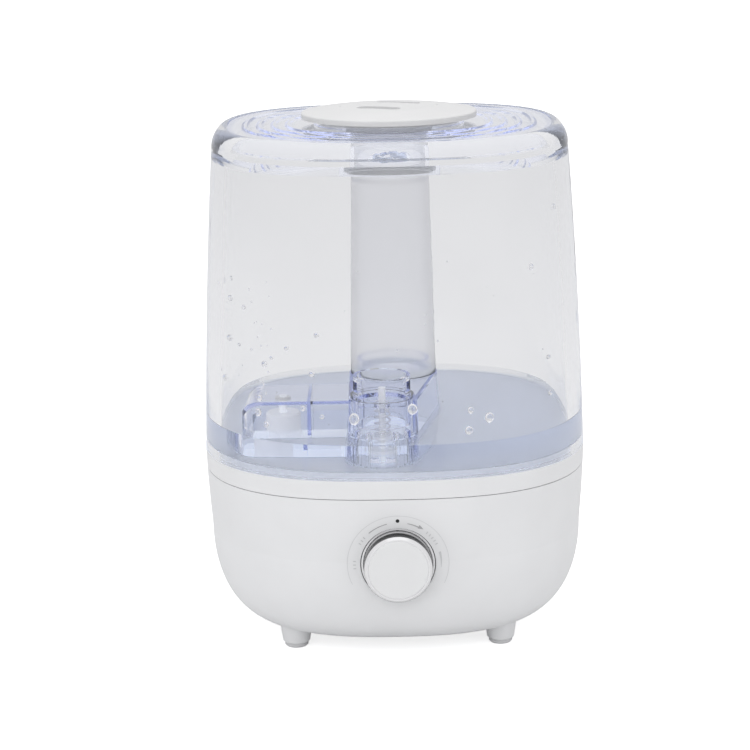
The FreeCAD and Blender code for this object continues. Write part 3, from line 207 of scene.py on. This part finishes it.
def banded(name, dark, light, scale, rough, metallic=0.0, along="Z"):
    """Fine parallel bands, as on a wound coil or a printed sleeve."""
    mat, shader = new_material(name, rough, metallic=metallic)
    wave = mat.node_tree.nodes.new("ShaderNodeTexWave")
    wave.bands_direction = along
    wave.inputs["Scale"].default_value = scale
    wave.inputs["Distortion"].default_value = 0.4
    mat.node_tree.links.new(place_node(mat), wave.inputs["Vector"])
    out = ramp(mat, wave.outputs["Fac"], [(0.2, dark), (0.8, light)])
    mat.node_tree.links.new(out, shader.inputs["Base Color"])
    bump(mat, shader, wave.outputs["Fac"], 0.5, 0.0003)
    return mat


def chrome_band():
    """The knob's band: bright at the back, a black barrel painted in as the dark reflection of the
    shaded pocket, bright chamfer at the front.
    """
    mat, shader = new_material("chrome_band", 0.12, metallic=0.35)
    tree = mat.node_tree
    split = tree.nodes.new("ShaderNodeSeparateXYZ")
    tree.links.new(place_node(mat), split.inputs["Vector"])
    depth = tree.nodes.new("ShaderNodeMapRange")
    depth.inputs["From Min"].default_value = BAND_BACK_Y + TUBE_AXIS.y
    depth.inputs["From Max"].default_value = BAND_FRONT_Y + TUBE_AXIS.y
    tree.links.new(split.outputs["Y"], depth.inputs["Value"])
    bright = (0.8, 0.8, 0.81)
    dull = (0.7, 0.7, 0.71)
    # painted shade: the barrel's black stands in for the dark reflection of the shaded pocket around
    # the knob
    black = (0.012, 0.012, 0.013)
    out = ramp(mat, depth.outputs["Result"],
               [(0.0, bright), (0.36, dull), (0.4, black), (0.88, black), (0.9, bright)])
    tree.links.new(out, shader.inputs["Base Color"])
    vary_roughness(mat, shader, 0.16, 0.24, 150.0)
    return mat


def bezel_ring():
    """White ring around the knob, dark at its outer edge."""
    mat, shader = new_material("bezel_ring", 0.25, coat=0.2)
    tree = mat.node_tree
    split = tree.nodes.new("ShaderNodeSeparateXYZ")
    tree.links.new(place_node(mat), split.inputs["Vector"])
    flat = tree.nodes.new("ShaderNodeCombineXYZ")
    tree.links.new(split.outputs["X"], flat.inputs["X"])
    tree.links.new(split.outputs["Z"], flat.inputs["Y"])
    reach = tree.nodes.new("ShaderNodeVectorMath")
    reach.operation = "DISTANCE"
    reach.inputs[1].default_value = (0, KNOB_Z, 0)
    tree.links.new(flat.outputs["Vector"], reach.inputs[0])
    radius = tree.nodes.new("ShaderNodeMapRange")
    radius.inputs["From Min"].default_value = BEZEL_IN_R
    radius.inputs["From Max"].default_value = BEZEL_OUT_R
    tree.links.new(reach.outputs["Value"], radius.inputs["Value"])
    white = (0.84, 0.84, 0.85)
    out = ramp(mat, radius.outputs["Result"],
               [(0.0, white), (0.72, white), (0.78, (0.03, 0.03, 0.035)), (1.0, (0.05, 0.05, 0.055))])
    tree.links.new(out, shader.inputs["Base Color"])
    vary_roughness(mat, shader, 0.2, 0.3, 150.0)
    return mat


def board():
    """Circuit board lacquer with faint copper tracks under it."""
    mat, shader = new_material("board_green", 0.35, coat=0.3)
    tree = mat.node_tree
    brick = tree.nodes.new("ShaderNodeTexBrick")
    brick.inputs["Scale"].default_value = 60.0
    brick.inputs["Mortar Size"].default_value = 0.03
    brick.inputs["Color1"].default_value = (0.012, 0.13, 0.05, 1)
    brick.inputs["Color2"].default_value = (0.01, 0.11, 0.045, 1)
    brick.inputs["Mortar"].default_value = (0.05, 0.26, 0.1, 1)
    tree.links.new(place_node(mat), brick.inputs["Vector"])
    tree.links.new(brick.outputs["Color"], shader.inputs["Base Color"])
    bump(mat, shader, noise(mat, 300.0), 0.1, 0.0002)
    return mat


# Every glow given below is a painted glow: an even emission standing in for light that reaches the
# parts in and under the clear tank. The tray's and the inner parts' whites are lit copies of the white
# plastic, made brighter this way.
WHITE = moulded("white_plastic", (0.8, 0.805, 0.815), 0.34, coat=0.12)
TRAY_WHITE_PAINTED_LIGHT = moulded("tray_white_painted_light", (0.84, 0.86, 0.9), 0.3, painted_glow=0.26)
INNER_WHITE_PAINTED_LIGHT = moulded("inner_white_painted_light", (0.88, 0.89, 0.91), 0.35, painted_glow=0.3)
FROSTED = moulded("frosted_blue", (0.74, 0.77, 0.86), 0.35, coat=0.3, painted_glow=0.15, through=0.5)
CAP_WHITE = moulded("cap_white", (0.80, 0.80, 0.80), 0.38, coat=0.05)
TANK = clear("clear_plastic", (0.975, 0.976, 0.978), 0.012, 1.2, 3.0, (0.6, 0.64, 0.78), painted_glow=0.006)
BLUE = clear("clear_blue", (0.98, 0.983, 0.992), 0.02, 1.28, 20.0, (0.4, 0.5, 0.96), painted_glow=0.004)
LID = clear("clear_lid", (0.98, 0.983, 0.992), 0.02, 1.25, 9.0, (0.4, 0.5, 0.96), painted_glow=0.022)
MILKY = clear("milky_clear", (0.93, 0.932, 0.944), 0.3, 1.12, 6.0, (0.7, 0.72, 0.82), painted_glow=0.002)
WATER = clear("water", (0.99, 0.991, 0.994), 0.0, 1.22, 2.5, (0.35, 0.55, 1.0), 0.015)
DROPLET = clear("droplet_water", (0.95, 0.95, 0.96), 0.0, 1.6)
SILICONE = moulded("silicone", (0.78, 0.8, 0.84), 0.5, painted_glow=0.2, through=0.3)
RUBBER = moulded("rubber_grey", (0.2, 0.2, 0.21), 0.75, 0.2)
PAD = moulded("foot_pad", (0.66, 0.66, 0.67), 0.7, 0.2)
STEEL = metal("steel", (0.55, 0.55, 0.57), 0.3, True)
SPRING = metal("spring_steel", (0.86, 0.86, 0.88), 0.3, True)
ALUMINIUM = metal("aluminium", (0.66, 0.67, 0.69), 0.42, True)
CERAMIC = banded("ceramic", (0.72, 0.66, 0.5), (0.78, 0.72, 0.56), 200.0, 0.3, along="X")
BLACK = moulded("black_plastic", (0.028, 0.028, 0.03), 0.45, 0.12)
SLEEVE = banded("capacitor_black", (0.02, 0.02, 0.025), (0.045, 0.045, 0.055), 60.0, 0.35, along="X")
FERRITE = moulded("ferrite", (0.06, 0.058, 0.06), 0.65, 0.2)
COPPER = banded("copper", (0.42, 0.16, 0.06), (0.8, 0.38, 0.18), 520.0, 0.28, 0.9)
FLOAT_WHITE = moulded("float_white", (0.9, 0.9, 0.92), 0.5, painted_glow=0.16, through=0.3)
FACE = moulded("knob_face", (0.78, 0.785, 0.79), 0.3, 0.02, coat=0.15)
PRINT = moulded("print_grey", (0.42, 0.42, 0.43), 0.6)
PRINT_BLACK = moulded("print_black", (0.012, 0.012, 0.013), 0.5)
FAINT_PRINT_AND_PAINTED_SHADE = moulded("faint_print_and_painted_shade", (0.62, 0.625, 0.635), 0.5)

FINISHES = {
    "mist_cap": CAP_WHITE, "cap_snap_ring": WHITE, "lid": LID, "lid_neck": LID, "tank_shell": TANK,
    "tank_floor": FROSTED, "hood": BLUE, "float_chamber": BLUE, "float_post": INNER_WHITE_PAINTED_LIGHT,
    "valve_pin": INNER_WHITE_PAINTED_LIGHT, "sump": TRAY_WHITE_PAINTED_LIGHT, "deck": TRAY_WHITE_PAINTED_LIGHT, "chimney": TRAY_WHITE_PAINTED_LIGHT,
    "base_tray": WHITE, "mist_tube": MILKY, "tube_seal": SILICONE, "valve_cage": BLUE,
    "valve_stem": FLOAT_WHITE,
    "valve_seal": SILICONE, "valve_spring": SPRING, "float": FLOAT_WHITE, "float_clip": WHITE,
    "base_housing": WHITE, "bottom_cover": WHITE, "foot_pads": PAD,
    "tray_screws": STEEL, "cover_screws": STEEL, "transducer_disc": CERAMIC,
    "transducer_gasket": RUBBER, "transducer_holder": ALUMINIUM, "transducer_screws": STEEL,
    "fan_frame": BLACK, "fan_impeller": BLACK, "fan_screws": STEEL, "air_duct": WHITE,
    "main_board": board(), "board_screws": STEEL, "heat_sink": ALUMINIUM, "capacitors": SLEEVE,
    "driver_coil": FERRITE, "coil_winding": COPPER, "power_jack": BLACK, "knob_bezel": bezel_ring(),
    "knob": FACE, "knob_ring": chrome_band(), "pot_shaft": STEEL, "potentiometer": STEEL,
    "control_board": board(),
}
for node_name, finish in FINISHES.items():
    slots = NODES[node_name].data.materials
    slots.clear()
    slots.append(finish)


# --------------------------------------------------------------------- pieces ----

def piece(name, made, mat, body):
    """Object from a bmesh, laid out from the tube's axis, that rides on a body."""
    data = bpy.data.meshes.new(name)
    bmesh.ops.translate(made, verts=made.verts, vec=TUBE_AXIS)
    bmesh.ops.recalc_face_normals(made, faces=made.faces)
    made.to_mesh(data)
    made.free()
    data.materials.append(mat)
    data.shade_smooth()
    data.set_sharp_from_angle(angle=math.radians(40))
    obj = bpy.data.objects.new(name, data)
    bpy.context.scene.collection.objects.link(obj)
    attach(obj, body)
    return obj


def plan_point(half_x, angle):
    """Point of the tank's rounded-square outline, half_x wide at its middle."""
    half_y = half_x - (HALF_WIDTH - HALF_DEPTH)
    c, s = math.cos(angle), math.sin(angle)
    reach = (abs(c / half_x) ** SQUARENESS + abs(s / half_y) ** SQUARENESS) ** (-1 / SQUARENESS)
    return reach * c, reach * s


def plan(half_x, z, count=160):
    """The outline as a loop of points at height z."""
    return [Vector((*plan_point(half_x, 2 * math.pi * i / count), z)) for i in range(count)]


def circle(x, y, r, z, count=64):
    """Circle as a loop of points at height z."""
    angles = [2 * math.pi * i / count for i in range(count)]
    return [Vector((x + r * math.cos(a), y + r * math.sin(a), z)) for a in angles]


def stack(loops):
    """Closed bmesh through loops of equal length, capped at both ends."""
    made = bmesh.new()
    rows = [[made.verts.new(p) for p in loop] for loop in loops]
    for low, high in zip(rows, rows[1:]):
        for i in range(len(low)):
            j = (i + 1) % len(low)
            made.faces.new((low[i], low[j], high[j], high[i]))
    made.faces.new(rows[0][::-1])
    made.faces.new(rows[-1])
    return made


def tank_half(z):
    """Outer half width of the tank at height z."""
    share = (z - JOINT_Z) / (SHOULDER_Z - JOINT_Z)
    return FOOT_HALF + (SHOULDER_HALF - FOOT_HALF) * share + 4 * TANK_BOW * share * (1 - share)


def temporary(name, made):
    """Short-lived object from a bmesh, for a boolean."""
    data = bpy.data.meshes.new(name)
    bmesh.ops.recalc_face_normals(made, faces=made.faces)
    made.to_mesh(data)
    made.free()
    obj = bpy.data.objects.new(name, data)
    bpy.context.scene.collection.objects.link(obj)
    return obj


def combined(first, others):
    """Mesh of first with each (object, operation) applied, as a bmesh."""
    for other, operation in others:
        step = first.modifiers.new("step", "BOOLEAN")
        step.solver = "EXACT"
        step.operation = operation
        step.object = other
    bpy.context.view_layer.update()
    evaluated = first.evaluated_get(bpy.context.evaluated_depsgraph_get())
    made = bmesh.new()
    made.from_mesh(evaluated.to_mesh())
    evaluated.to_mesh_clear()
    for obj in [first] + [other for other, operation in others]:
        bpy.data.objects.remove(obj)
    return made


def hull_loop(r1, x2, y2, r2, z, count=48):
    """Outline around a circle at the origin and one at x2, y2."""
    gap = math.hypot(x2, y2)
    heading = math.atan2(y2, x2)
    lean = math.acos((r1 - r2) / gap)
    points = []
    for i in range(count + 1):
        a = heading + lean + (2 * math.pi - 2 * lean) * i / count
        points.append(Vector((r1 * math.cos(a), r1 * math.sin(a), z)))
    for i in range(count + 1):
        a = heading - lean + 2 * lean * i / count
        points.append(Vector((x2 + r2 * math.cos(a), y2 + r2 * math.sin(a), z)))
    return points


def lobe_loop(inset, z):
    """Outline of the float's chamber, its two left corners rounded."""
    x0 = LOBE_LEFT_X + inset
    y0 = LOBE_FRONT_Y + inset
    y1 = LOBE_BACK_Y - inset
    r = LOBE_CORNER_R - inset
    points = [Vector((TOWER.x, y0, z)), Vector((TOWER.x, y1, z))]
    for cx, cy, start in ((x0 + r, y1 - r, 90), (x0 + r, y0 + r, 180)):
        for i in range(9):
            a = math.radians(start + 90 * i / 8)
            points.append(Vector((cx + r * math.cos(a), cy + r * math.sin(a), z)))
    return points


def make_water():
    """The water around the hood and inside the valve tower, set a hair into the plastic."""
    bite = 0.0003
    low = FLOOR_TOP_Z - bite
    span = (low, WATER_Z)
    body = temporary("w0", stack([plan(tank_half(z) - TANK_WALL + bite, z) for z in span]))

    def hood(z):
        draft = HOOD_FLARE * (HOOD_TOP_Z - z) / HOOD_RISE - bite
        return hull_loop(FOOT_RING_R + draft, TOWER.x, TOWER.y, TOWER_R + draft, z)

    foot = stack([hood(z) for z in (low - 0.002, WATER_Z + 0.002)])
    lobe = stack([lobe_loop(bite, z) for z in (low - 0.003, WATER_Z + 0.003)])
    well = stack([circle(TOWER.x, TOWER.y, TOWER_BORE_R, z) for z in span])
    cutters = [(temporary("w1", foot), "DIFFERENCE"), (temporary("w2", lobe), "DIFFERENCE"),
               (temporary("w3", well), "UNION")]
    for i in range(5):  # the tower's slots
        a = math.radians(-90 + 24 * (i - 2))
        made = bmesh.new()
        bmesh.ops.create_cube(made, size=1.0)
        bmesh.ops.scale(made, verts=made.verts, vec=(0.008, 0.0026, WATER_Z - low - 0.0002))
        bmesh.ops.translate(made, verts=made.verts, vec=(0.0185, 0, (WATER_Z + low) / 2 - 0.00005))
        bmesh.ops.rotate(made, verts=made.verts, matrix=Matrix.Rotation(a, 3, "Z"))
        bmesh.ops.translate(made, verts=made.verts, vec=(TOWER.x, TOWER.y, 0))
        cutters.append((temporary("w4%d" % i, made), "UNION"))
    return piece("tank_water", combined(body, cutters), WATER, "tank")


def drop(made, at, radius, outward, squash=0.6, sag=1.0):
    """A bead of water that sits on a wall whose normal is outward."""
    added = bmesh.ops.create_icosphere(made, subdivisions=3, radius=radius)["verts"]
    turn = outward.to_track_quat("Z", "Y").to_matrix()
    for v in added:
        p = Vector((v.co.x, v.co.y * sag, v.co.z * squash))
        v.co = at + turn @ p


def wall_point(x, z):
    """Point of the tank's front inner wall at x, z and the direction into the tank there."""
    half_x = tank_half(z) - TANK_WALL
    half_y = half_x - (HALF_WIDTH - HALF_DEPTH)
    y = half_y * (1 - min(0.999, abs(x / half_x)) ** SQUARENESS) ** (1 / SQUARENESS)
    nx = math.copysign(abs(x / half_x) ** (SQUARENESS - 1) / half_x, x)
    ny = -(y / half_y) ** (SQUARENESS - 1) / half_y
    return Vector((x, -y, z)), -Vector((nx, ny, 0)).normalized()


def make_droplets():
    """Splashes left on the inside of the front wall, listed and scattered."""
    spots = [(-0.072, 0.149, 1.3), (-0.049, 0.146, 1.0), (-0.073, 0.141, 1.5), (-0.069, 0.135, 1.2),
             (-0.039, 0.142, 1.0), (-0.022, 0.141, 2.2), (0.009, 0.146, 2.1), (0.04, 0.144, 1.3),
             (0.05, 0.139, 1.9), (0.039, 0.133, 1.7), (0.083, 0.146, 1.0), (-0.086, 0.2, 1.2),
             (-0.085, 0.211, 0.8), (-0.079, 0.197, 0.9), (-0.087, 0.178, 1.3), (-0.082, 0.176, 0.7),
             (-0.069, 0.168, 1.3), (-0.057, 0.178, 1.0), (-0.041, 0.186, 1.1), (-0.044, 0.165, 1.2),
             (-0.065, 0.172, 0.9), (-0.09, 0.155, 1.2), (0.073, 0.217, 1.1), (0.085, 0.246, 1.1),
             (0.082, 0.166, 1.0)]
    rng = random.Random(41)
    for i in range(26):
        spots.append((rng.uniform(-0.092, -0.062), rng.uniform(0.15, 0.215), rng.uniform(0.25, 0.6)))
    for i in range(16):
        spots.append((rng.uniform(-0.06, 0.09), rng.uniform(0.135, 0.23), rng.uniform(0.2, 0.45)))
    made = bmesh.new()
    for x, z, r in spots:
        at, inward = wall_point(x, z)
        drop(made, at + inward * r * MM * 0.3, 1.25 * r * MM, inward, 0.7, rng.uniform(1.0, 1.25))
    for i in range(22):  # a run of beads down the mist tube
        z = 0.17 + 0.0031 * i
        r = TUBE_FOOT_R - TUBE_DRAFT * (z - HOOD_TOP_Z) / TUBE_LENGTH
        if rng.random() < 0.3:
            continue
        a = math.radians(rng.uniform(-8, 4))
        out = Vector((math.cos(a), math.sin(a), 0))
        drop(made, out * r + Vector((0, 0, z)), rng.uniform(0.3, 0.7) * MM, out, 0.6)
    return piece("tank_droplets", made, DROPLET, "tank")


# ----------------------------------------------------------------- dial marks ----

housing = BVHTree.FromPolygons([v.co for v in NODES["base_housing"].data.vertices],
                               [p.vertices for p in NODES["base_housing"].data.polygons])


def on_front(x, z):
    """Point just in front of the housing's wall at x, z."""
    hit = housing.ray_cast(Vector((x, -0.2, z)), Vector((0, 1, 0)))[0]
    return Vector((x, hit.y - PRINT_PROUD, z)) - TUBE_AXIS


def strip(made, outline):
    """Flat print from pairs of (inner, outer) points in the front's x, z."""
    rows = [(made.verts.new(on_front(*a)), made.verts.new(on_front(*b))) for a, b in outline]
    for (a, b), (c, d) in zip(rows, rows[1:]):
        made.faces.new((a, b, d, c))


def polar(r, degrees):
    """Millimetre radius and angle about the dial to the front's x, z."""
    return r * MM * math.cos(math.radians(degrees)), KNOB_Z + r * MM * math.sin(math.radians(degrees))


def arc(made, r, first, last, width, end_width=None, steps=40):
    """Printed arc about the dial, in millimetres and degrees, that may taper."""
    end_width = width if end_width is None else end_width
    pairs = []
    for i in range(steps + 1):
        a = first + (last - first) * i / steps
        w = width + (end_width - width) * i / steps
        pairs.append((polar(r - w / 2, a), polar(r + w / 2, a)))
    strip(made, pairs)


def disc(made, x, z, radius):
    """Printed dot on the front."""
    centre = made.verts.new(on_front(x, z))
    rim = []
    for i in range(24):
        a = math.pi * i / 12
        rim.append(made.verts.new(on_front(x + radius * math.cos(a), z + radius * math.sin(a))))
    for i in range(24):
        made.faces.new((centre, rim[i], rim[(i + 1) % 24]))


def make_marks():
    """Plain marks around the dial: an arrow, a dot, ticks and a wedge in print, and a faint line
    painted as the shade of the embossed ring around them.
    """
    made = bmesh.new()
    arc(made, 23.6, 131, 104, 0.45)
    arc(made, 23.6, 77, 62, 0.4, 0.6)
    arc(made, 23.9, 62, 55, 2.2, 0.1, 10)
    piece("dial_arrows", made, PRINT, "base")
    made = bmesh.new()
    disc(made, 0.0, KNOB_Z + 0.0246, 0.001)
    piece("dial_index", made, PRINT_BLACK, "base")
    made = bmesh.new()
    for a in (140, 145, 150, 176, 181, 186, 48, 43, 38, 33, 28):
        arc(made, 23.5, a - 0.7, a + 0.7, 1.5, steps=2)
    arc(made, 23.3, 16, -6, 1.3, 0.2)
    # painted shade: a faint grey line that stands in for the shade of the embossed ring's edge
    arc(made, 27.4, 205, -25, 0.22, steps=120)
    piece("dial_ticks", made, FAINT_PRINT_AND_PAINTED_SHADE, "base")


def make_rim():
    """The base's rim, a hair below the tank's foot, with a top given a painted glow that stands in for
    the tank's light falling on it.
    """
    data = NODES["base_tray"].data.copy()
    for v in data.vertices:
        if v.co.z > JOINT_Z - 0.0002:
            v.co.z -= RIM_GAP
    # second slot: the painted-glow white, painted light on the faces that look up into the tank
    data.materials.append(TRAY_WHITE_PAINTED_LIGHT)
    for face in data.polygons:
        face.material_index = 1 if face.normal.z > 0.7 else 0
    obj = bpy.data.objects.new("tray_rim", data)
    bpy.context.scene.collection.objects.link(obj)
    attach(obj, "base")
    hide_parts("base_tray")


def make_pointer():
    """Dot inlaid at the back of the knob's barrel."""
    made = bmesh.new()
    bmesh.ops.create_uvsphere(made, u_segments=24, v_segments=12, radius=0.0008)
    bmesh.ops.scale(made, verts=made.verts, vec=(1.0, 0.5, 1.0))
    bmesh.ops.translate(made, verts=made.verts, vec=(0.0, -0.1023, KNOB_Z + POINTER_R))
    piece("knob_pointer", made, PRINT_BLACK, "dial")


make_rim()
make_water()
make_droplets()
make_marks()
make_pointer()


# ---------------------------------------------------------------------- stage ----

def make_floor():
    """Pale floor that looks white where it is seen directly, and softly grey through the tank."""
    bpy.ops.mesh.primitive_plane_add(size=60.0, location=(0, 0, 0))
    floor = bpy.context.object
    floor.name = "studio_floor"
    mat, shader = new_material("studio_floor", 0.7)
    mottle(mat, shader, (0.9, 0.9, 0.9), 0.004, 2.0)
    socket(shader, "Emission Color", (1, 1, 1, 1))
    lift = mat.node_tree.nodes.new("ShaderNodeMath")
    lift.operation = "MULTIPLY"
    lift.inputs[1].default_value = 0.7
    path = mat.node_tree.nodes.new("ShaderNodeLightPath")
    mat.node_tree.links.new(path.outputs["Is Camera Ray"], lift.inputs[0])
    mat.node_tree.links.new(lift.outputs["Value"], shader.inputs["Emission Strength"])
    floor.data.materials.append(mat)


def make_world():
    """Soft room: bright overhead, greyer towards the horizon."""
    world = bpy.data.worlds.new("studio")
    bpy.context.scene.world = world
    world.use_nodes = True
    tree = world.node_tree
    background = tree.nodes["Background"]
    split = tree.nodes.new("ShaderNodeSeparateXYZ")
    tree.links.new(tree.nodes.new("ShaderNodeTexCoord").outputs["Generated"], split.inputs["Vector"])
    shades = tree.nodes.new("ShaderNodeValToRGB")
    stops = [(0.0, 0.78), (0.15, 0.84), (0.4, 0.92), (1.0, 1.0)]
    while len(shades.color_ramp.elements) < len(stops):
        shades.color_ramp.elements.new(0.5)
    for element, (at, level) in zip(shades.color_ramp.elements, stops):
        element.position = at
        element.color = (level, level, level * 1.01, 1)
    tree.links.new(split.outputs["Z"], shades.inputs["Fac"])
    tree.links.new(shades.outputs["Color"], background.inputs["Color"])
    background.inputs["Strength"].default_value = 0.86


def area_light(name, at, target, size, power):
    """Softbox aimed at a point."""
    data = bpy.data.lights.new(name, "AREA")
    data.shape = "RECTANGLE"
    data.size, data.size_y = size
    data.energy = power
    light = bpy.data.objects.new(name, data)
    bpy.context.scene.collection.objects.link(light)
    light.location = at
    light.rotation_euler = (Vector(target) - Vector(at)).to_track_quat("-Z", "Y").to_euler()


def make_camera():
    """Long lens, a little above the lid, looking slightly down."""
    data = bpy.data.cameras.new("photo_camera")
    data.lens = 108.5
    data.sensor_width = 36.0
    data.clip_end = 100.0
    camera = bpy.data.objects.new("photo_camera", data)
    bpy.context.scene.collection.objects.link(camera)
    at = Vector((-0.0105, -1.2626, 0.4394)) + TUBE_AXIS
    target = Vector((-0.0105, 0.0, 0.1423)) + TUBE_AXIS
    turn = (target - at).to_track_quat("-Z", "Y").to_matrix()
    turn = turn @ Matrix.Rotation(math.radians(CAMERA_ROLL), 3, "Z")
    camera.matrix_world = Matrix.Translation(at) @ turn.to_4x4()
    bpy.context.scene.camera = camera


make_floor()
make_world()
area_light("softbox_top", (0.0, -0.2, 1.6), (0, 0, 0.15), (1.4, 1.4), 3.5)
area_light("softbox_front", (-0.5, -2.2, 1.3), (0, 0, 0.15), (1.6, 1.0), 9.0)
make_camera()

scene = bpy.context.scene
scene.view_settings.view_transform = "Standard"
scene.cycles.max_bounces = 24
scene.cycles.transmission_bounces = 24
scene.cycles.glossy_bounces = 24
scene.cycles.transparent_max_bounces = 16
scene.cycles.sample_clamp_indirect = 6.0
